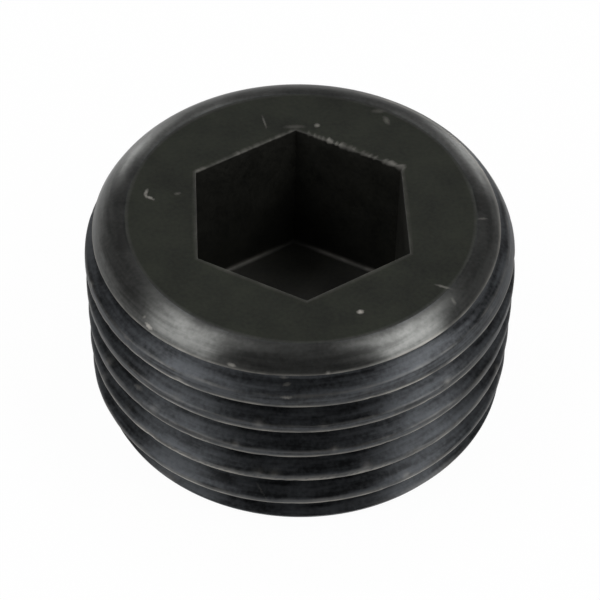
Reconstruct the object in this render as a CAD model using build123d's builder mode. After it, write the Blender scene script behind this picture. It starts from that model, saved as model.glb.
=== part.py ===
from build123d import *
import math
import os

# Hex socket screw plug with a taper pipe thread of size 1/2.
# Millimetres.  The plug stands on its plain end: the origin is the centre of
# that end face, +Z is the axis and points out of the socket.

# ---- overall -------------------------------------------------------------
plug_length = 11.0
blank_diameter = 20.955

# ---- thread, 55 degree taper pipe form, right hand ------------------------
millimetres_per_inch = 25.4
threads_per_inch = 14
thread_angle = 55.0
thread_taper = 1.0 / 16.0
# Share of the sharp triangle's height cut off flat at the root and at the crest.
thread_truncation = 1.0 / 6.0
# Width of the groove where its section ends, outside the crests, as a share of the pitch.
thread_mouth_share = 0.96
# Above this height the straight blank trims the crests, so they grow wider.
full_form_height = 3.0
# Height of a groove's middle, at the full form diameter, straight out along +X.
groove_height = 8.68

# ---- shoulder between the thread and the top face ---------------------------
shoulder_width = 0.98
shoulder_angle = 60.0
shoulder_top_rounding = 1.6
shoulder_foot_rounding = 3.0
# The most that one rounding may take of the shoulder's sloping face.
shoulder_rounding_share = 0.49

# ---- lead at the plain end --------------------------------------------------
lead_depth = 0.5
lead_height = 0.9

# ---- hexagon socket ---------------------------------------------------------
socket_across_flats = 10.0
socket_depth = 7.8
socket_floor_rounding = 0.25

# ---- worked out from the sizes above ------------------------------------------
blank_radius = blank_diameter / 2
cone_slope = thread_taper / 2
cone_angle = math.atan(cone_slope)
foot_radius = blank_radius - full_form_height * cone_slope
socket_floor_height = plug_length - socket_depth

# The shoulder turns by shoulder_angle at its top corner and by the rest of a
# right angle at its foot.  A short sloping face limits both roundings.
shoulder_slope = math.radians(shoulder_angle)
shoulder_top_radius = blank_radius - shoulder_width
shoulder_height = plug_length - shoulder_width * math.tan(shoulder_slope)
rounding_length = shoulder_rounding_share * shoulder_width / math.cos(shoulder_slope)
top_rounding = min(shoulder_top_rounding, rounding_length / math.tan(shoulder_slope / 2))
foot_rounding = min(shoulder_foot_rounding, rounding_length / math.tan((math.pi / 2 - shoulder_slope) / 2))

# The groove's section: straight flanks and a flat root, drawn open past the crests.
thread_pitch = millimetres_per_inch / threads_per_inch
flank_slope = math.tan(math.radians(thread_angle / 2))
sharp_height = thread_pitch / (2 * flank_slope)
thread_depth = (1 - 2 * thread_truncation) * sharp_height
root_half_width = thread_truncation * thread_pitch / 2
outer_half_width = thread_mouth_share * thread_pitch / 2
outer_reach = (outer_half_width - root_half_width) / flank_slope - thread_depth

# The groove starts below the plain end and is cut one turn at a time, until it
# has climbed past the top face.
turns_below = math.ceil((groove_height + outer_half_width) / thread_pitch)
groove_start_height = groove_height - turns_below * thread_pitch
turns_in_all = math.ceil((plug_length + root_half_width - groove_start_height) / thread_pitch)

with BuildPart() as plug_body:
    # The turned blank.
    with BuildSketch(Plane.XZ) as blank_section:
        with BuildLine() as blank_outline:
            Polyline(
                (0, 0),
                (foot_radius - lead_depth, 0),
                (foot_radius + lead_height * cone_slope, lead_height),
                (blank_radius, full_form_height),
                (blank_radius, shoulder_height),
                (shoulder_top_radius, plug_length),
                (0, plug_length),
                close=True,
            )
        make_face()
        shoulder_corner = blank_section.vertices().sort_by_distance((shoulder_top_radius, plug_length, 0))[0]
        fillet(shoulder_corner, radius=top_rounding)
        shoulder_foot = blank_section.vertices().sort_by_distance((blank_radius, shoulder_height, 0))[0]
        fillet(shoulder_foot, radius=foot_rounding)
    revolve(axis=Axis.Z)

    # The thread groove, a tapering helix cut from end to end.
    for turn in range(turns_in_all):
        turn_height = groove_start_height + turn * thread_pitch
        with BuildLine() as groove_path:
            Helix(
                pitch=thread_pitch / math.cos(cone_angle),
                height=thread_pitch,
                radius=blank_radius + (turn_height - full_form_height) * cone_slope,
                center=(0, 0, turn_height),
                cone_angle=math.degrees(cone_angle),
            )
        groove_edge = groove_path.edges()[0]
        # Local x runs into the metal, local y up the plug.
        groove_plane = Plane(groove_edge.location_at(0, frame_method=FrameMethod.FRENET))
        with BuildSketch(groove_plane) as groove_section:
            with BuildLine() as groove_outline:
                Polyline(
                    (-outer_reach, outer_half_width),
                    (thread_depth, root_half_width),
                    (thread_depth, -root_half_width),
                    (-outer_reach, -outer_half_width),
                    close=True,
                )
            make_face()
        sweep(path=groove_edge, is_frenet=True, mode=Mode.SUBTRACT)

    # The hexagon socket, two corners of it on the Y axis.
    with BuildSketch(Plane.XY.offset(plug_length)) as socket_section:
        RegularPolygon(radius=socket_across_flats / 2, side_count=6, major_radius=False, rotation=30)
    extrude(amount=-socket_depth, mode=Mode.SUBTRACT)
    socket_floor = plug_body.faces().filter_by(Plane.XY).sort_by_distance((0, 0, socket_floor_height))[0]
    fillet(socket_floor.edges(), radius=socket_floor_rounding)

plug_body.part.label = "plug_body"

os.makedirs("parts", exist_ok=True)
export_step(plug_body.part, "parts/plug_body.step")
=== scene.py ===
import math

import bpy
import numpy as np
from mathutils import Matrix, Vector


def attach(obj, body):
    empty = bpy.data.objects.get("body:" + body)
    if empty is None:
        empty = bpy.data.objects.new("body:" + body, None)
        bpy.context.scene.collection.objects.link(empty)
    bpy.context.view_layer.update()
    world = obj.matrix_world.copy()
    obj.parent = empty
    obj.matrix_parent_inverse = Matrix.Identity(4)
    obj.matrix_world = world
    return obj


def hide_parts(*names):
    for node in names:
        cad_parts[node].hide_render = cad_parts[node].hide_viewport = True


# The visual model of a hexagon socket screw plug with a taper pipe thread.  One
# fine mesh of the same form stands for the CAD node, with rounded thread roots,
# worn crests, a burred socket mouth and small nicks.  Sizes are in millimetres
# and become metres where a mesh, lamp or camera is made.

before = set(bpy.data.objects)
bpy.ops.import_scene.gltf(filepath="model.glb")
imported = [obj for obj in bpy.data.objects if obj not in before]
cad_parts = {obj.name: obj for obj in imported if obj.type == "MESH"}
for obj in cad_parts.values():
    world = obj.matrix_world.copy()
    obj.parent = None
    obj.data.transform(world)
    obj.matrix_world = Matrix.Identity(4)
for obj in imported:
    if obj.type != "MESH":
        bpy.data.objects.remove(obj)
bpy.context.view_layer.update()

MM = 0.001
TURN = 2 * math.pi

# ---- the plug's sizes, as in the CAD model --------------------------------------
# The radius is a hair less, so that this mesh stays inside the CAD model's facets.
PLUG_LENGTH = 11.0
BLANK_RADIUS = 20.955 / 2 - 0.0012
PITCH = 25.4 / 14
FLANK_ANGLE = math.radians(55.0 / 2)
CONE_SLOPE = 1 / 32
FULL_FORM_HEIGHT = 3.0
GROOVE_HEIGHT = 8.68
SHOULDER_WIDTH = 0.98
SHOULDER_SLOPE = math.radians(60.0)
TOP_ROUNDING = 1.6
FOOT_ROUNDING = 3.0
LEAD_DEPTH = 0.5
LEAD_HEIGHT = 0.9
SOCKET_APOTHEM = 5.0
SOCKET_DEPTH = 7.8
FLOOR_ROUNDING = 0.25

# ---- finer form that the CAD model leaves out --------------------------------------
THREAD_ROUNDING = 0.2491
# How far from a crest's edge the edge is worn down, and how much that changes.
EDGE_WEAR = 0.07
EDGE_UNEVENNESS = 0.4
# Sine waves that change a length along the thread: how many go round the plug,
# where each starts, and how fast it shifts with the height.
UNEVEN_WAVES = ((5, 0.4, 0.9), (11, 2.1, 1.7), (23, 4.0, 2.3), (41, 1.2, 3.1))
# Nicks in the crests' edges, spread over this many turns of the thread.  They lie
# between two shares of the way from a root's middle to the crest's edge, and
# their sizes and depths lie between two shares of the full ones.
NICK_SEED = 11
NICK_COUNT = 150
NICK_TURNS = 6
NICK_DEPTH = 0.035
NICK_SIZE = 0.20
NICK_PLACES = (0.88, 1.0)
NICK_SIZE_SHARES = (0.5, 1.3)
NICK_DEPTH_SHARES = (0.2, 1.0)
# The socket's mouth: its least rounding, how much chips may add to it, the chips'
# middle and swing, and the waves that make them, as how many go round and where
# each starts.
MOUTH_ROUNDING = 0.04
MOUTH_CHIPS = 0.16
CHIPS_MIDDLE = 0.5
CHIPS_SWING = 0.25
MOUTH_WAVES = ((13, 0.3), (29, 1.9), (53, 4.4), (89, 2.7), (139, 0.8))
# How much of the chips all sides have, and what the two far sides have besides,
# between two angles in degrees.
MOUTH_SHARE = 0.07
BURRED_SIDES = ((29, 84, 0.88), (92, 150, 0.20))
# One corner is chipped off: its angle and the chip's reach in degrees, and its width.
CORNER_CHIP_ANGLE = 30.0
CORNER_CHIP_REACH = 1.8
CORNER_CHIP_WIDTH = 0.12
# How far below the mouth's rounding the wall's rows of faces start.
WALL_START = 0.02
# The outermost ring of the top face, where the shoulder's polish fades.
RIM_WIDTH = 0.12

# ---- where the black finish is rubbed off, and a painted highlight, as shares from 0 to 1 ---
# A bright line along each crest's lower edge: how high it reaches, how far it
# hangs over the edge, its strength before it is cut off at 1, and its share
# where it crosses the shoulder.
WORN_LINE = 0.14
LINE_OVERHANG = 0.03
LINE_STRENGTH = 1.2
SHOULDER_LINE = 0.65
UPPER_EDGE_WEAR = 0.25
LAND_WEAR = 0.06
NICK_WEAR = 0.6
# Height over which the shoulder's polish comes in.
POLISH_FADE = 0.25
# Where the topmost groove starts to run out, over which angle, and how far the
# polished shoulder then reaches down.
RUNOUT_ANGLE = math.radians(-20)
RUNOUT_SPAN = math.radians(50)
RUNOUT_DROP = 0.6
RIM_POLISH = 0.5
# The socket's mouth, and how much more its burrs show.  They shine in uneven
# groups: the groups' middle, swing and least, and two waves that make them.
MOUTH_WEAR = 0.08
BURR_WEAR = 0.65
BURR_MIDDLE = 0.6
BURR_SWING = 0.7
BURR_LEAST = 0.15
BURR_WAVES = ((9, 0.6), (23, 2.0))
# A painted highlight along the rounding round the socket's floor, the corner where
# it is left out, and over how many degrees from there it comes in, after a first share of them.
FLOOR_HIGHLIGHT = 0.38
FAR_CORNER_ANGLE = 90
FAR_CORNER_FADE = 15
FAR_CORNER_PLAIN = 0.3

# ---- how finely the mesh is divided --------------------------------------------------
COLUMNS = 456
# Heights of the rows between the middle of a root and the middle of the next
# crest.  They are closest at the crest's edge.
ROW_STEPS = (0.12, 0.221, 0.37, 0.53, 0.645, 0.70, 0.745, 0.79, 0.845)
TURNS_BELOW = 6
SHOULDER_TURNS = 4
# Rows nearer than this to an end of the thread are joined to that end.
ROW_MARGIN = 0.004
TOP_RINGS = 16
WALL_RINGS = 6
ARC_RINGS = 4
SOCKET_FLOOR_SHARES = (0.7, 0.35)
PLAIN_END_SHARES = (0.2, 0.45, 0.7, 0.85)
# Two faces that meet at more than this angle meet at a sharp edge.
SHARP_ANGLE = math.radians(38)
# A face nearer than this to an end's plane belongs to that end, and the other
# faces within this radius belong to the socket.
END_MARGIN = 0.001
SOCKET_REACH = 1.2 * SOCKET_APOTHEM

# ---- colours and finish -----------------------------------------------------------------
THREAD_COLOUR = (0.045, 0.048, 0.052)
SHOULDER_COLOUR = (0.080, 0.081, 0.078)
FACE_COLOUR = (0.0095, 0.011, 0.007)
SOCKET_COLOUR = (0.0125, 0.0125, 0.010)
WORN_COLOUR = (0.37, 0.355, 0.325)
# The darkest and the lightest shade of each, as shares of its colour.
PLAIN_SHADES = (0.40, 1.60)
POLISHED_SHADES = (0.72, 1.28)
# The least and the most that shows of the wear, and the noise between which it changes.
WEAR_SHOWN = (0.315, 0.9)
PATCH_RANGE = (0.35, 0.65)
# The steels, in the order of the plug's materials: the name, the colour, how
# metallic it is, its roughness, its specular level and whether it is turned.
TURNED, PLAIN, SOCKET = range(3)
STEELS = (
    ("turned_blackened_steel", THREAD_COLOUR, 0.80, 0.42, 0.3, True),
    ("plain_blackened_steel", FACE_COLOUR, 0.3, 0.50, 0.2, False),
    ("socket_blackened_steel", SOCKET_COLOUR, 0.2, 0.60, 0.3, False),
)
# How metallic bare steel is, and the wear or polish from which on it is bare.
BARE_METAL = 0.97
BARE_FROM = 0.5
POLISHED_ROUGHNESS = 0.30
WORN_ROUGHNESS = 0.60
ROUGHNESS_SPREAD = 0.08
BUMP_STRENGTH = 0.3
POLISHED_BUMP_STRENGTH = 0.06
BUMP_DISTANCE = 0.02
# How far turning marks stretch the highlights, and which way, as a share of a turn.
STRETCH = 0.9
STRETCH_TURN = 0.25
# Noise textures: the scale, to the metre, and the detail.
GRAIN_NOISE = (5000, 6)
MOTTLE_NOISE = (700, 3)
PATCH_NOISE = (900, 3)
STREAK_NOISE = (7000, 2)
KNOCK_NOISE = (9000, 2)
# How far the summed textures stray from their middle, and the streaks' part in them.
TEXTURE_SPREAD = 0.4
STREAK_PART = 2.0
# How slowly the streaks change along the plug's width and its height.
STREAK_DRIFT = 0.05
STREAK_CLIMB = 0.06

# Small knocks and scratches that show bare steel: the middle, the direction,
# half the length, half the width and how strongly each shows.
KNOCKS = (
    # on the top face and round its edge
    ((2.42, -6.58, 11.00), (1, 0.3, 0), 0.16, 0.13, 0.81),
    ((-7.42, 1.60, 11.00), (0.3, 1, 0), 0.22, 0.08, 0.47),
    ((-7.42, 1.36, 11.00), (0.3, -1, 0), 0.16, 0.08, 0.50),
    ((-7.24, 1.22, 11.00), (1, -0.7, 0), 0.24, 0.08, 0.54),
    ((8.67, -0.70, 10.99), (1, 0.1, 0), 0.24, 0.07, 0.54),
    ((6.40, -5.12, 11.00), (1, -0.4, 0), 0.38, 0.08, 0.30),
    ((6.79, -5.97, 10.93), (0.5, -1, 0), 0.24, 0.09, 0.27),
    ((1.07, 6.09, 11.00), (1, 0, 0), 0.13, 0.13, 0.41),
    ((-0.05, 6.02, 11.00), (1, 0, 0), 0.50, 0.14, 0.10),
    ((4.55, 6.35, 11.00), (0.3, -1, 0), 0.30, 0.14, 0.15),
    ((4.20, 7.05, 11.00), (1, 0, 0), 0.34, 0.14, 0.10),
    ((-1.54, 6.42, 11.00), (0.2, -1, 0), 0.45, 0.05, 0.22),
    ((-5.91, 1.46, 11.00), (1, 0.2, 0), 0.16, 0.09, 0.14),
    # on the shoulder and the thread
    ((-1.08, -9.75, 9.71), (1, 0, 0.3), 0.18, 0.09, 0.47),
    ((0.78, -9.77, 10.38), (1, 0, 0.2), 0.15, 0.13, 0.81),
    ((-1.10, -10.26, 9.40), (1, 0, 0), 0.30, 0.07, 0.54),
    ((-4.34, -9.54, 3.48), (1, -0.4, 0.2), 0.34, 0.09, 0.54),
    ((-2.20, -9.90, 2.09), (0.45, -0.7, -0.36), 0.50, 0.05, 0.20),
    ((-7.97, -6.18, 5.64), (1, -1, 0), 0.26, 0.11, 0.27),
    ((-7.34, -6.57, 10.37), (1, -1, -0.3), 0.26, 0.09, 0.81),
    ((-7.52, -6.14, 10.53), (0, -0.3, 1), 0.26, 0.07, 0.34),
    ((-3.57, -9.14, 10.42), (1, -0.3, -0.1), 0.22, 0.09, 0.68),
    ((-1.21, -9.49, 9.90), (1, 0, 0), 0.20, 0.07, 0.41),
    ((3.76, -8.97, 8.06), (1, 0.4, 0), 0.24, 0.07, 0.20),
)
# Noise makes the knocks' outlines ragged, by this much.  A knock is strongest up
# to the first of these shares of its half size, and gone at the second.
KNOCK_WOBBLE = 0.12
KNOCK_FADE = (0.3, 1.3)

# ---- floor, lamps and camera ---------------------------------------------------------------
FLOOR_HALF = 600
FLOOR_DROP = 0.02
FLOOR_COLOUR = (0.75, 0.75, 0.75)
FLOOR_ROUGHNESS = 0.9
# How white the floor is where it is seen or mirrored.  The rest shows the shadow.
FLOOR_WHITENESS = 0.97

# The sky's strength at the horizon, and between which heights of a direction,
# from 0 to 1, it goes over to the ceiling's.  The ceiling's strength changes
# from the first to the second over a span along Y.
HORIZON_STRENGTH = 1.0
HORIZON_SPAN = (0.05, 0.35)
CEILING_SPAN = (-0.3, 0.7)
CEILING_STRENGTHS = (0.09, 0.25)

LAMP_DISTANCE = 300
# Each lamp's name, the directions that it spans between, as azimuth and
# elevation in degrees, its width and its radiance.
LAMPS = (
    ("strip_lamp_left_low", (-150.7, 20), (175.5, 63.5), 140, 3.0),
    ("strip_lamp_left_high", (175.5, 63.5), (102.9, 60.5), 60, 4.6),
    ("strip_lamp_right_low", (-37.5, 20), (-3.6, 63.6), 120, 4.1),
    ("strip_lamp_right_high", (-3.6, 63.6), (70.5, 59.6), 60, 6.0),
    ("rim_lamp_left", (108, 8), (114, 24), 60, 4.6),
    ("rim_lamp_right", (65, 8), (59, 24), 70, 4.6),
)

# The photograph's view: its angles in radians, its distance, the point that it
# aims at before it is turned, and its focal length as a share of the picture's width.
CAMERA_ELEVATION = 0.8203
CAMERA_AZIMUTH = -0.0610
CAMERA_ROLL = 0.0210
CAMERA_DISTANCE = 115.98
CAMERA_AIM = (0.03, 0, 4.836)
FOCAL_IN_WIDTHS = 2326.6 / 600
SENSOR_WIDTH = 36
CLIP_START = 5

# ---- worked out from the sizes above ---------------------------------------------------------
# A sixth of the sharp triangle is cut off at the root, and another at the crest.
SHARP_HEIGHT = PITCH / (2 * math.tan(FLANK_ANGLE))
THREAD_DEPTH = 2 / 3 * SHARP_HEIGHT
CREST_EDGE = 5 / 12 * PITCH
FOOT_TURN = math.pi / 2 - SHOULDER_SLOPE
FOOT_LENGTH = FOOT_ROUNDING * FOOT_TURN
FOOT_TANGENT = FOOT_ROUNDING * math.tan(FOOT_TURN / 2)
TOP_LENGTH = TOP_ROUNDING * SHOULDER_SLOPE
TOP_TANGENT = TOP_ROUNDING * math.tan(SHOULDER_SLOPE / 2)
SLOPE_LENGTH = SHOULDER_WIDTH / math.cos(SHOULDER_SLOPE) - FOOT_TANGENT - TOP_TANGENT
FOOT_START = PLUG_LENGTH - SHOULDER_WIDTH * math.tan(SHOULDER_SLOPE) - FOOT_TANGENT
FLAT_RADIUS = BLANK_RADIUS - SHOULDER_WIDTH - TOP_TANGENT
LAST_LEVEL = FOOT_START + FOOT_LENGTH + SLOPE_LENGTH + TOP_LENGTH
SOCKET_FLOOR_HEIGHT = PLUG_LENGTH - SOCKET_DEPTH


# ---- the form of the surface --------------------------------------------------------------------

def blank_point(level):
    """Radius and height of the turned blank.  A level is a height up to the
    shoulder and the length along the outline from there on."""
    cone_radius = BLANK_RADIUS + (level - FULL_FORM_HEIGHT) * CONE_SLOPE
    lead_top = BLANK_RADIUS + (LEAD_HEIGHT - FULL_FORM_HEIGHT) * CONE_SLOPE
    lead_foot = BLANK_RADIUS - FULL_FORM_HEIGHT * CONE_SLOPE - LEAD_DEPTH
    lead_radius = lead_foot + (lead_top - lead_foot) * level / LEAD_HEIGHT
    foot_turn = np.clip((level - FOOT_START) / FOOT_ROUNDING, 0, FOOT_TURN)
    slope_run = np.clip(level - FOOT_START - FOOT_LENGTH, 0, SLOPE_LENGTH)
    top_turn = np.clip((level - FOOT_START - FOOT_LENGTH - SLOPE_LENGTH) / TOP_ROUNDING, 0, SHOULDER_SLOPE)
    shoulder_radius = (
        BLANK_RADIUS
        - FOOT_ROUNDING * (1 - np.cos(foot_turn))
        - slope_run * math.cos(SHOULDER_SLOPE)
        - TOP_ROUNDING * (math.cos(FOOT_TURN) - np.cos(FOOT_TURN + top_turn))
    )
    shoulder_height = (
        FOOT_START
        + FOOT_ROUNDING * np.sin(foot_turn)
        + slope_run * math.sin(SHOULDER_SLOPE)
        + TOP_ROUNDING * (np.sin(FOOT_TURN + top_turn) - math.sin(FOOT_TURN))
    )
    radius = np.select(
        [level < LEAD_HEIGHT, level < FULL_FORM_HEIGHT, level < FOOT_START],
        [lead_radius, cone_radius, BLANK_RADIUS],
        shoulder_radius,
    )
    height = np.where(level < FOOT_START, level, shoulder_height)
    return radius, height


def off_groove(angle, height):
    """Distance along the axis from the middle of the nearest groove, with its sign."""
    middle = GROOVE_HEIGHT + PITCH * angle / TURN
    return (height - middle + PITCH / 2) % PITCH - PITCH / 2


def thread_radius(angle, height):
    """Radius of the full thread form, with its rounded roots and crests."""
    off_root = np.abs(off_groove(angle, height))
    off_crest = PITCH / 2 - off_root
    crest = BLANK_RADIUS + (height - FULL_FORM_HEIGHT) * CONE_SLOPE
    tangent = THREAD_ROUNDING * math.cos(FLANK_ANGLE)
    root_rise = THREAD_ROUNDING - np.sqrt(np.maximum(THREAD_ROUNDING**2 - off_root**2, 0))
    crest_drop = THREAD_ROUNDING - np.sqrt(np.maximum(THREAD_ROUNDING**2 - off_crest**2, 0))
    flank_rise = THREAD_ROUNDING * (1 - math.sin(FLANK_ANGLE)) + (off_root - tangent) / math.tan(FLANK_ANGLE)
    rise = np.where(off_root < tangent, root_rise, flank_rise)
    return crest - np.where(off_crest < tangent, crest_drop, THREAD_DEPTH - rise)


def unevenness(angle, height, amount):
    """Slow changes of a length along the thread, as on a part that has been handled."""
    total = 0.0
    for waves, phase, climb in UNEVEN_WAVES:
        total = total + np.sin(waves * angle + phase + climb * height)
    return 1 + amount * total / 2


def nick_share(x, y, z):
    """How deep each point lies in a nick of the crests' edges, from 0 to 1."""
    random = np.random.RandomState(NICK_SEED)
    angle = random.uniform(0, TURN, NICK_COUNT)
    groove = GROOVE_HEIGHT + PITCH * (angle / TURN - random.randint(0, NICK_TURNS, NICK_COUNT))
    side = random.choice((-1, 1), NICK_COUNT)
    height = groove + side * CREST_EDGE * random.uniform(*NICK_PLACES, NICK_COUNT)
    size = NICK_SIZE * random.uniform(*NICK_SIZE_SHARES, NICK_COUNT)
    depth = random.uniform(*NICK_DEPTH_SHARES, NICK_COUNT)
    deepest = np.zeros(np.shape(x))
    for n in range(NICK_COUNT):
        middle_x = BLANK_RADIUS * math.cos(angle[n])
        middle_y = BLANK_RADIUS * math.sin(angle[n])
        # A nick is a little lower than it is wide.
        away = (x - middle_x) ** 2 + (y - middle_y) ** 2 + 2 * (z - height[n]) ** 2
        deepest = np.maximum(deepest, depth[n] * np.exp(-away / size[n] ** 2))
    return deepest


def shoulder_foot_height(angle):
    """Where the polished shoulder ends: at the topmost groove, and from where
    that groove runs out, further and further down to the crest below it."""
    turned = (angle + math.pi) % TURN - math.pi
    groove = GROOVE_HEIGHT + PITCH * (1 + turned / TURN)
    runout = GROOVE_HEIGHT + PITCH * (1 + RUNOUT_ANGLE / TURN)
    past = (turned - RUNOUT_ANGLE) / RUNOUT_SPAN
    dropped = np.maximum(runout - RUNOUT_DROP * past, runout - RUNOUT_DROP)
    return np.where(turned < RUNOUT_ANGLE, groove, dropped)


def crest_wear(angle, height, blank, radius, near_edge, foot):
    """How far the finish is rubbed off a crest: in a narrow line along its lower
    edge, at the edges themselves, and a little all over the crest."""
    off = off_groove(angle, height)
    crest = BLANK_RADIUS + (height - FULL_FORM_HEIGHT) * CONE_SLOPE
    trimmed = np.maximum(crest - blank, 0) * math.tan(FLANK_ANGLE)
    above_edge = off % PITCH - CREST_EDGE + trimmed
    across_land = np.clip(1 - above_edge / (PITCH - 2 * CREST_EDGE + 2 * trimmed), 0, 1)
    on_land = np.clip(1 - np.abs(blank - radius) / THREAD_ROUNDING, 0, 1)
    line = np.clip(LINE_STRENGTH - above_edge / WORN_LINE, 0, 1)
    line = np.where(above_edge > -LINE_OVERHANG, line, 0) * on_land
    line = line * np.where(height > foot, SHOULDER_LINE, 1.0)
    edges = np.maximum(line, np.where(off > 0, 1.0, UPPER_EDGE_WEAR) * near_edge)
    land = np.where(height < foot, LAND_WEAR * across_land * on_land, 0)
    return np.maximum(edges, land)


def outer_surface(angle, level):
    """Radius and height of the threaded outside, its wear and its polish."""
    blank, height = blank_point(level)
    form = thread_radius(angle, height)
    # The blank and the thread form meet in an edge, which is worn round.
    edge = EDGE_WEAR * unevenness(angle, height, EDGE_UNEVENNESS)
    near = np.maximum(edge - np.abs(blank - form), 0)
    radius = np.minimum(blank, form) - near**2 / (4 * edge)
    foot = shoulder_foot_height(angle)
    clear_of_groove = np.clip((form - blank) / EDGE_WEAR, 0, 1)
    polish = clear_of_groove * np.clip((height - foot) / POLISH_FADE, 0, 1)
    wear_and_highlight = crest_wear(angle, height, blank, radius, near / edge, foot)
    nick = nick_share(radius * np.cos(angle), radius * np.sin(angle), height)
    radius = radius - NICK_DEPTH * nick
    wear_and_highlight = np.maximum(wear_and_highlight, NICK_WEAR * nick)
    return radius, height, np.clip(wear_and_highlight, 0, 1), polish


def hexagon_radius(angle, apothem):
    """Radius of a hexagon with two corners on the Y axis."""
    sixth = TURN / 6
    return apothem / np.cos((angle + sixth / 2) % sixth - sixth / 2)


def mouth_rounding(angle):
    """Width of the rounding at the socket's mouth: ragged all round, most on the
    two far sides, with a chip out of the corner that ends the first of them."""
    ragged = 0.0
    for waves, phase in MOUTH_WAVES:
        ragged = ragged + np.sin(waves * angle + phase)
    chips = np.clip(CHIPS_MIDDLE + CHIPS_SWING * ragged, 0, 1)
    degrees = np.degrees(angle)
    share = MOUTH_SHARE
    for start, end, more in BURRED_SIDES:
        share = share + more * ((degrees > start) & (degrees < end))
    corner_chip = CORNER_CHIP_WIDTH * np.exp(-((degrees - CORNER_CHIP_ANGLE) / CORNER_CHIP_REACH) ** 2)
    return MOUTH_ROUNDING + MOUTH_CHIPS * share * chips + corner_chip


# ---- the mesh -----------------------------------------------------------------------------------

class Grid:
    """Collects points and rings of points, and the faces between them."""

    def __init__(self):
        self.points = []
        # Wear of the finish for each point, and round the socket's floor a painted highlight.
        self.wear_and_highlight = []
        self.polish = []
        self.faces = []

    def add(self, x, y, z, wear_and_highlight=0.0, polish=0.0):
        first = sum(len(block) for block in self.wear_and_highlight)
        block = np.stack(np.broadcast_arrays(x, y, z), axis=-1).reshape(-1, 3)
        self.points.append(block)
        self.wear_and_highlight.append(np.broadcast_to(wear_and_highlight, len(block)))
        self.polish.append(np.broadcast_to(polish, len(block)))
        return np.arange(first, first + len(block))

    def add_ring(self, radius, angles, height, wear_and_highlight=0.0, polish=0.0):
        return self.add(radius * np.cos(angles), radius * np.sin(angles), height, wear_and_highlight, polish)

    def add_face(self, corners):
        kept = [c for n, c in enumerate(corners) if c != corners[n - 1]]
        if len(kept) > 2:
            self.faces.append(kept)

    def join(self, lower, upper):
        """Faces between two rings.  They face out where the second lies above the first."""
        for i in range(len(lower)):
            j = (i + 1) % len(lower)
            self.add_face((lower[i], lower[j], upper[j], upper[i]))

    def fan(self, ring, centre):
        for i in range(len(ring)):
            self.add_face((ring[i], ring[(i + 1) % len(ring)], centre))


def thread_rows():
    """Heights of the mesh rows at angle 0.  They repeat with each pitch, so that
    they climb with the thread and lie along its roots, flanks and crests."""
    steps = [0.0, *ROW_STEPS, PITCH / 2]
    steps += [PITCH - step for step in reversed(ROW_STEPS)]
    start = GROOVE_HEIGHT - TURNS_BELOW * PITCH
    turns = math.ceil((FOOT_START - start) / PITCH) + SHOULDER_TURNS + 1
    rows = [start + turn * PITCH + step for turn in range(turns) for step in steps]
    return np.array(rows), len(steps)


def thread_levels(rows, angles):
    """The level of each mesh row in each column."""
    raw = rows[None, :] + PITCH * angles[:, None] / TURN
    # Above full form the blank trims the crests, so the rows move with the crests' edges.
    off = off_groove(angles[:, None], raw)
    past_full_form = np.clip(raw - FULL_FORM_HEIGHT, 0, FOOT_START - FULL_FORM_HEIGHT)
    trimmed = past_full_form * CONE_SLOPE * math.tan(FLANK_ANGLE)
    share = np.abs(off) / CREST_EDGE
    in_groove = share * trimmed
    on_crest = (PITCH / 2 - np.abs(off)) / (PITCH / 2 - CREST_EDGE) * trimmed
    raw = raw - np.sign(off) * np.where(share < 1, in_groove, on_crest)
    # On the shoulder the rows lie closer.
    squeeze = (LAST_LEVEL - FOOT_START) / (SHOULDER_TURNS * PITCH)
    return np.where(raw > FOOT_START, FOOT_START + (raw - FOOT_START) * squeeze, raw)


def build_outside(grid, angles):
    """The threaded outside.  Returns its rings at the plain end and at the top face."""
    rows, rows_per_turn = thread_rows()
    level = thread_levels(rows, angles)
    below = level < ROW_MARGIN
    above = level > LAST_LEVEL - ROW_MARGIN
    angle_grid = np.broadcast_to(angles[:, None], level.shape)
    ends = []
    for end_level in (0.0, LAST_LEVEL):
        radius, height, wear_and_highlight, polish = outer_surface(angles, np.full(len(angles), end_level))
        ends.append(grid.add_ring(radius, angles, height, wear_and_highlight, polish))
    inside = ~(below | above)
    radius, height, wear_and_highlight, polish = outer_surface(angle_grid[inside], level[inside])
    index = np.zeros(level.shape, int)
    index[inside] = grid.add_ring(radius, angle_grid[inside], height, wear_and_highlight, polish)
    index = np.where(below, ends[0][:, None], index)
    index = np.where(above, ends[1][:, None], index)
    # After a full turn the rows meet the ones a pitch higher.
    last = len(rows) - 1
    seam = index[0, np.minimum(np.arange(len(rows)) + rows_per_turn, last)]
    columns = np.vstack([index, seam])
    for here, there in zip(columns, columns[1:]):
        for k in range(last):
            grid.add_face((here[k], there[k], there[k + 1], here[k + 1]))
    return ends


def quarter_arc():
    """The angles of the rings round a rounding."""
    return np.linspace(0, math.pi / 2, ARC_RINGS + 1)


# The next four functions give rings, as their radius, height, wear (round the socket's floor a painted
# highlight) and polish.

def top_face_rings(angles, rounding):
    mouth_radius = hexagon_radius(angles, SOCKET_APOTHEM + rounding)
    for share in np.linspace(0, 1, TOP_RINGS + 1)[:-1]:
        radius = (FLAT_RADIUS - RIM_WIDTH) * (1 - share) + mouth_radius * share
        yield radius, PLUG_LENGTH, 0.0, RIM_POLISH if share == 0 else 0.0


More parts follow.
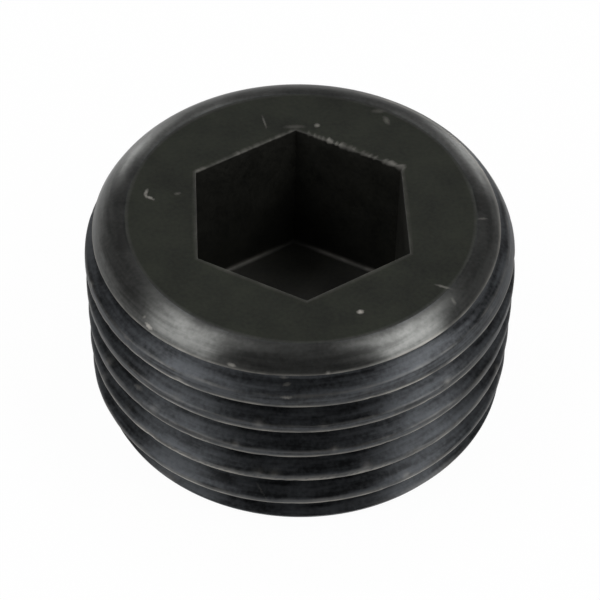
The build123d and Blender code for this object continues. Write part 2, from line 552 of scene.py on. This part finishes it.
def mouth_rings(angles, rounding):
    """The rounded mouth of the socket, whose burrs shine in uneven groups."""
    chipped = np.clip((rounding - MOUTH_ROUNDING) / MOUTH_CHIPS, 0, 1)
    swing = BURR_SWING
    for waves, phase in BURR_WAVES:
        swing = swing * np.sin(waves * angles + phase)
    uneven = np.clip(BURR_MIDDLE + swing, BURR_LEAST, 1)
    for turn in quarter_arc():
        apothem = SOCKET_APOTHEM + rounding * (1 - math.sin(turn))
        height = PLUG_LENGTH - rounding * (1 - math.cos(turn))
        wear_and_highlight = (MOUTH_WEAR + BURR_WEAR * chipped * uneven) * math.cos(turn)
        yield hexagon_radius(angles, apothem), height, wear_and_highlight, 0.0


def wall_rings(angles, rounding):
    wall_radius = hexagon_radius(angles, SOCKET_APOTHEM)
    wall_top = PLUG_LENGTH - rounding - WALL_START
    wall_foot = SOCKET_FLOOR_HEIGHT + FLOOR_ROUNDING
    for share in np.linspace(0, 1, WALL_RINGS + 1):
        yield wall_radius, wall_top + (wall_foot - wall_top) * share, 0.0, 0.0


def floor_rings(angles):
    """The rounding round the floor, with a painted highlight along it except in the far corner, and the flat
    floor."""
    from_corner = np.abs(np.degrees(angles) - FAR_CORNER_ANGLE) / FAR_CORNER_FADE
    painted_highlight = FLOOR_HIGHLIGHT * np.clip(from_corner - FAR_CORNER_PLAIN, 0, 1)
    for turn in quarter_arc()[1:]:
        apothem = SOCKET_APOTHEM - FLOOR_ROUNDING * (1 - math.cos(turn))
        height = SOCKET_FLOOR_HEIGHT + FLOOR_ROUNDING - FLOOR_ROUNDING * math.sin(turn)
        yield hexagon_radius(angles, apothem), height, painted_highlight * math.sin(2 * turn) ** 3, 0.0
    for share in SOCKET_FLOOR_SHARES:
        yield hexagon_radius(angles, SOCKET_APOTHEM - FLOOR_ROUNDING) * share, SOCKET_FLOOR_HEIGHT, 0.0, 0.0


def build_top_and_socket(grid, angles, rim):
    """The top face, the socket's mouth, its walls and its floor."""
    rounding = mouth_rounding(angles)
    rings = (
        *top_face_rings(angles, rounding),
        *mouth_rings(angles, rounding),
        *wall_rings(angles, rounding),
        *floor_rings(angles),
    )
    previous = rim
    for radius, height, wear_and_highlight, polish in rings:
        ring = grid.add_ring(radius, angles, height, wear_and_highlight, polish)
        grid.join(previous, ring)
        previous = ring
    grid.fan(previous, grid.add(0.0, 0.0, SOCKET_FLOOR_HEIGHT)[0])


def build_plain_end(grid, angles, rim):
    rings = [grid.add_ring(share * BLANK_RADIUS, angles, 0.0) for share in PLAIN_END_SHARES]
    centre = grid.add(0.0, 0.0, 0.0)[0]
    grid.fan(rings[0][::-1], centre)
    for inner, outer in zip(rings, [*rings[1:], rim]):
        grid.join(inner, outer)


def material_at(radius, height):
    """The material of a face, by the place of its middle."""
    on_plain_end = height < END_MARGIN
    on_top = height > PLUG_LENGTH - END_MARGIN
    if on_plain_end or on_top:
        return TURNED if on_top and radius > FLAT_RADIUS - RIM_WIDTH else PLAIN
    return SOCKET if radius < SOCKET_REACH else TURNED


def build_plug():
    grid = Grid()
    angles = np.arange(COLUMNS) * TURN / COLUMNS
    foot_rim, top_rim = build_outside(grid, angles)
    build_top_and_socket(grid, angles, top_rim)
    build_plain_end(grid, angles, foot_rim)
    mesh = bpy.data.meshes.new("plug_surface")
    mesh.from_pydata(np.concatenate(grid.points) * MM, [], grid.faces)
    mesh.validate()
    # The wear attribute holds the rubbed finish and, round the socket's floor, a painted highlight.
    for name, blocks in (("wear_and_highlight", grid.wear_and_highlight), ("polish", grid.polish)):
        attribute = mesh.attributes.new(name, "FLOAT", "POINT")
        attribute.data.foreach_set("value", np.concatenate(blocks).astype(np.float32))
    for polygon in mesh.polygons:
        polygon.material_index = material_at(polygon.center.xy.length / MM, polygon.center.z / MM)
    mesh.shade_smooth()
    mesh.set_sharp_from_angle(angle=SHARP_ANGLE)
    plug = bpy.data.objects.new("plug_surface", mesh)
    bpy.context.scene.collection.objects.link(plug)
    return plug


# ---- materials -------------------------------------------------------------------------------------

class Shading:
    """A node tree, and short ways to add to it.  A value may be a number, a
    colour, a vector or the output of another node."""

    def __init__(self, tree):
        self.nodes = tree.nodes
        self.links = tree.links

    def add(self, kind):
        return self.nodes.new("ShaderNode" + kind)

    def feed(self, socket, value):
        """Links a socket to a node's output, or sets it to a plain value."""
        if isinstance(value, bpy.types.NodeSocket):
            self.links.new(value, socket)
        elif socket.type == "RGBA":
            socket.default_value = (*value, 1)
        else:
            socket.default_value = value

    def math(self, operation, *values):
        node = self.add("Math")
        node.operation = operation
        for socket, value in zip(node.inputs, values):
            self.feed(socket, value)
        return node.outputs["Value"]

    def mix_colours(self, factor, low, high):
        # The node has sockets of the same names for each kind of value, so the
        # ones for colours go by their numbers.
        node = self.add("Mix")
        node.data_type = "RGBA"
        self.feed(node.inputs["Factor"], factor)
        self.feed(node.inputs[6], low)
        self.feed(node.inputs[7], high)
        return node.outputs[2]

    def mix_values(self, factor, low, high):
        node = self.add("Mix")
        self.feed(node.inputs["Factor"], factor)
        self.feed(node.inputs["A"], low)
        self.feed(node.inputs["B"], high)
        return node.outputs["Result"]

    def remap(self, value, low, high, to_low, to_high, interpolation="LINEAR"):
        node = self.add("MapRange")
        node.interpolation_type = interpolation
        self.feed(node.inputs["Value"], value)
        self.feed(node.inputs["From Min"], low)
        self.feed(node.inputs["From Max"], high)
        self.feed(node.inputs["To Min"], to_low)
        self.feed(node.inputs["To Max"], to_high)
        return node.outputs["Result"]

    def noise(self, vector, scale_and_detail):
        node = self.add("TexNoise")
        scale, detail = scale_and_detail
        node.inputs["Scale"].default_value = scale
        node.inputs["Detail"].default_value = detail
        self.feed(node.inputs["Vector"], vector)
        return node

    def attribute(self, name):
        node = self.add("Attribute")
        node.attribute_name = name
        return node.outputs["Fac"]


def new_material(name):
    material = bpy.data.materials.new(name)
    material.use_nodes = True
    return material, Shading(material.node_tree), material.node_tree.nodes["Principled BSDF"]


def shades(colour, shares):
    return [tuple(share * part for part in colour) for share in shares]


def add_knocks(shading, place):
    """How strongly each point is marked by the knocks, from 0 to 1."""
    shift = shading.add("VectorMath")
    shift.operation = "MULTIPLY_ADD"
    shading.feed(shift.inputs[0], shading.noise(place, KNOCK_NOISE).outputs["Color"])
    shift.inputs[1].default_value = (KNOCK_WOBBLE * MM,) * 3
    shading.feed(shift.inputs[2], place)
    mean_shift = Vector((KNOCK_WOBBLE / 2,) * 3)
    total = 0.0
    for middle, along, half_length, half_width, strength in KNOCKS:
        local = shading.add("Mapping")
        local.vector_type = "TEXTURE"
        shading.feed(local.inputs["Vector"], shift.outputs["Vector"])
        local.inputs["Location"].default_value = (Vector(middle) + mean_shift) * MM
        local.inputs["Rotation"].default_value = Vector(along).to_track_quat("X", "Z").to_euler()
        local.inputs["Scale"].default_value = (half_length * MM, half_width * MM, half_width * MM)
        distance = shading.add("VectorMath")
        distance.operation = "LENGTH"
        shading.feed(distance.inputs[0], local.outputs["Vector"])
        shown = shading.remap(distance.outputs["Value"], *KNOCK_FADE, strength, 0.0)
        total = shading.math("MAXIMUM", total, shown)
    return total


def add_streaks(shading, place):
    """Fine tool marks that run along the thread, from 0 to 1."""
    split = shading.add("SeparateXYZ")
    shading.feed(split.inputs["Vector"], place)
    x, y, z = (split.outputs[axis] for axis in "XYZ")
    climb = shading.math("MULTIPLY", shading.math("ARCTAN2", y, x), PITCH * MM / TURN)
    height = shading.math("SUBTRACT", z, climb)
    streak = shading.add("CombineXYZ")
    across = shading.math("WRAP", height, (GROOVE_HEIGHT + PITCH) * MM, GROOVE_HEIGHT * MM)
    shading.feed(streak.inputs["X"], across)
    drift = shading.math("MULTIPLY", x, STREAK_DRIFT)
    shading.feed(streak.inputs["Y"], shading.math("ADD", drift, shading.math("MULTIPLY", z, STREAK_CLIMB)))
    shading.feed(streak.inputs["Z"], shading.math("MULTIPLY", y, STREAK_DRIFT))
    return shading.noise(streak.outputs["Vector"], STREAK_NOISE).outputs["Fac"]


def blackened_steel(name, colour, metal, roughness, gloss, turned):
    """Black oxide steel.  Turned steel has fine marks round the axis, which
    spread its highlights up and down the outline."""
    material, shading, shader = new_material(name)
    place = shading.add("TexCoord").outputs["Object"]
    grain = shading.noise(place, GRAIN_NOISE).outputs["Fac"]
    mottle = shading.noise(place, MOTTLE_NOISE).outputs["Fac"]
    texture = shading.math("ADD", grain, mottle)
    middle = 1.0
    if turned:
        streaks = shading.math("MULTIPLY", add_streaks(shading, place), STREAK_PART)
        texture = shading.math("ADD", texture, streaks)
        middle = 1.0 + STREAK_PART / 2
    texture_range = (middle - TEXTURE_SPREAD, middle + TEXTURE_SPREAD)

    patches = shading.noise(place, PATCH_NOISE).outputs["Fac"]
    shown = shading.remap(patches, *PATCH_RANGE, *WEAR_SHOWN)
    # The wear attribute brings real wear and, round the socket's floor, a painted highlight.
    wear_and_highlight = shading.math("MULTIPLY", shading.attribute("wear_and_highlight"), shown)
    wear_and_highlight = shading.math("MAXIMUM", wear_and_highlight, add_knocks(shading, place))
    polish = shading.attribute("polish")

    lighter = shading.remap(texture, *texture_range, 0.0, 1.0)
    plain = shading.mix_colours(lighter, *shades(colour, PLAIN_SHADES))
    polished = shading.mix_colours(lighter, *shades(SHOULDER_COLOUR, POLISHED_SHADES))
    unworn = shading.mix_colours(polish, plain, polished)
    shading.feed(shader.inputs["Base Color"], shading.mix_colours(wear_and_highlight, unworn, WORN_COLOUR))

    bright = shading.math("MAXIMUM", polish, wear_and_highlight)
    shading.feed(shader.inputs["Metallic"], shading.remap(bright, 0, BARE_FROM, metal, BARE_METAL))
    shader.inputs["Specular IOR Level"].default_value = gloss

    roughness_range = (roughness - ROUGHNESS_SPREAD, roughness + ROUGHNESS_SPREAD)
    uneven = shading.remap(texture, *texture_range, *roughness_range)
    smooth = shading.mix_values(polish, uneven, POLISHED_ROUGHNESS)
    shading.feed(shader.inputs["Roughness"], shading.mix_values(wear_and_highlight, smooth, WORN_ROUGHNESS))

    bump = shading.add("Bump")
    strength = shading.remap(polish, 0, 1, BUMP_STRENGTH, POLISHED_BUMP_STRENGTH)
    shading.feed(bump.inputs["Strength"], strength)
    bump.inputs["Distance"].default_value = BUMP_DISTANCE * MM
    shading.feed(bump.inputs["Height"], texture)
    shading.feed(shader.inputs["Normal"], bump.outputs["Normal"])

    if turned:
        shader.inputs["Anisotropic"].default_value = STRETCH
        shader.inputs["Anisotropic Rotation"].default_value = STRETCH_TURN
        tangent = shading.add("Tangent")
        tangent.direction_type = "RADIAL"
        tangent.axis = "Z"
        shading.feed(shader.inputs["Tangent"], tangent.outputs["Tangent"])
    return material


# ---- floor, world, lamps and camera --------------------------------------------------------------

def build_floor():
    """A floor that is white where it is seen or mirrored, and keeps a trace of the shadow."""
    half = FLOOR_HALF * MM
    corners = [(-half, -half, 0), (half, -half, 0), (half, half, 0), (-half, half, 0)]
    mesh = bpy.data.meshes.new("floor")
    mesh.from_pydata(corners, [], [(0, 1, 2, 3)])
    floor = bpy.data.objects.new("floor", mesh)
    bpy.context.scene.collection.objects.link(floor)
    floor.location.z = -FLOOR_DROP * MM

    material, shading, shader = new_material("floor_white")
    shading.feed(shader.inputs["Base Color"], FLOOR_COLOUR)
    shader.inputs["Roughness"].default_value = FLOOR_ROUGHNESS
    shader.inputs["Specular IOR Level"].default_value = 0.0
    rays = shading.add("LightPath")
    seen = shading.math("MAXIMUM", rays.outputs["Is Camera Ray"], rays.outputs["Is Glossy Ray"])
    seen = shading.math("MAXIMUM", seen, rays.outputs["Is Transmission Ray"])
    glow = shading.add("Emission")
    mix = shading.add("MixShader")
    shading.feed(mix.inputs["Fac"], shading.math("MULTIPLY", seen, FLOOR_WHITENESS))
    shading.feed(mix.inputs[1], shader.outputs["BSDF"])
    shading.feed(mix.inputs[2], glow.outputs["Emission"])
    shading.feed(shading.nodes["Material Output"].inputs["Surface"], mix.outputs["Shader"])
    mesh.materials.append(material)


def build_world():
    """White at the horizon and dark above, a little less so at the back."""
    world = bpy.data.worlds.new("studio")
    bpy.context.scene.world = world
    world.use_nodes = True
    shading = Shading(world.node_tree)
    split = shading.add("SeparateXYZ")
    shading.feed(split.inputs["Vector"], shading.add("TexCoord").outputs["Generated"])
    ceiling = shading.remap(split.outputs["Y"], *CEILING_SPAN, *CEILING_STRENGTHS)
    sky = shading.remap(split.outputs["Z"], *HORIZON_SPAN, HORIZON_STRENGTH, ceiling, "SMOOTHSTEP")
    background = shading.nodes["Background"]
    shading.feed(background.inputs["Strength"], sky)
    shading.feed(background.inputs["Color"], (1, 1, 1))


def direction(azimuth, elevation):
    azimuth, elevation = math.radians(azimuth), math.radians(elevation)
    flat = math.cos(elevation)
    return Vector((math.cos(azimuth) * flat, math.sin(azimuth) * flat, math.sin(elevation)))


def add_strip_lamp(name, low, high, width, radiance):
    """A long soft lamp that spans from one direction to another, facing the plug."""
    low_end = direction(*low) * LAMP_DISTANCE
    high_end = direction(*high) * LAMP_DISTANCE
    length = (high_end - low_end).length
    lamp = bpy.data.lights.new(name, "AREA")
    lamp.shape = "RECTANGLE"
    lamp.size = width * MM
    lamp.size_y = length * MM
    lamp.energy = radiance * math.pi * width * length * MM * MM
    strip = bpy.data.objects.new(name, lamp)
    bpy.context.scene.collection.objects.link(strip)
    along = (high_end - low_end).normalized()
    middle = (low_end + high_end) / 2
    away = (middle - along * middle.dot(along)).normalized()
    axes = Matrix((along.cross(away), along, away)).transposed()
    strip.matrix_world = Matrix.Translation(middle * MM) @ axes.to_4x4()
    strip.visible_camera = False


def build_camera():
    turn = Matrix.Rotation(CAMERA_AZIMUTH, 3, "Z")
    side = Vector((1, 0, 0))
    back = Vector((0, -math.cos(CAMERA_ELEVATION), math.sin(CAMERA_ELEVATION)))
    up = Vector((0, math.sin(CAMERA_ELEVATION), math.cos(CAMERA_ELEVATION)))
    right = side * math.cos(CAMERA_ROLL) + up * math.sin(CAMERA_ROLL)
    upward = up * math.cos(CAMERA_ROLL) - side * math.sin(CAMERA_ROLL)
    place = turn @ (Vector(CAMERA_AIM) + back * CAMERA_DISTANCE) * MM
    data = bpy.data.cameras.new("camera")
    data.sensor_fit = "HORIZONTAL"
    data.sensor_width = SENSOR_WIDTH
    data.lens = SENSOR_WIDTH * FOCAL_IN_WIDTHS
    data.clip_start = CLIP_START * MM
    camera = bpy.data.objects.new("camera", data)
    bpy.context.scene.collection.objects.link(camera)
    axes = Matrix((turn @ right, turn @ upward, turn @ back)).transposed()
    camera.matrix_world = Matrix.Translation(place) @ axes.to_4x4()
    bpy.context.scene.camera = camera


plug = build_plug()
for steel in STEELS:
    plug.data.materials.append(blackened_steel(*steel))
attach(plug, "root")
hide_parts("plug_body")
build_floor()
build_world()
for lamp_settings in LAMPS:
    add_strip_lamp(*lamp_settings)
build_camera()
bpy.context.scene.view_settings.view_transform = "Standard"
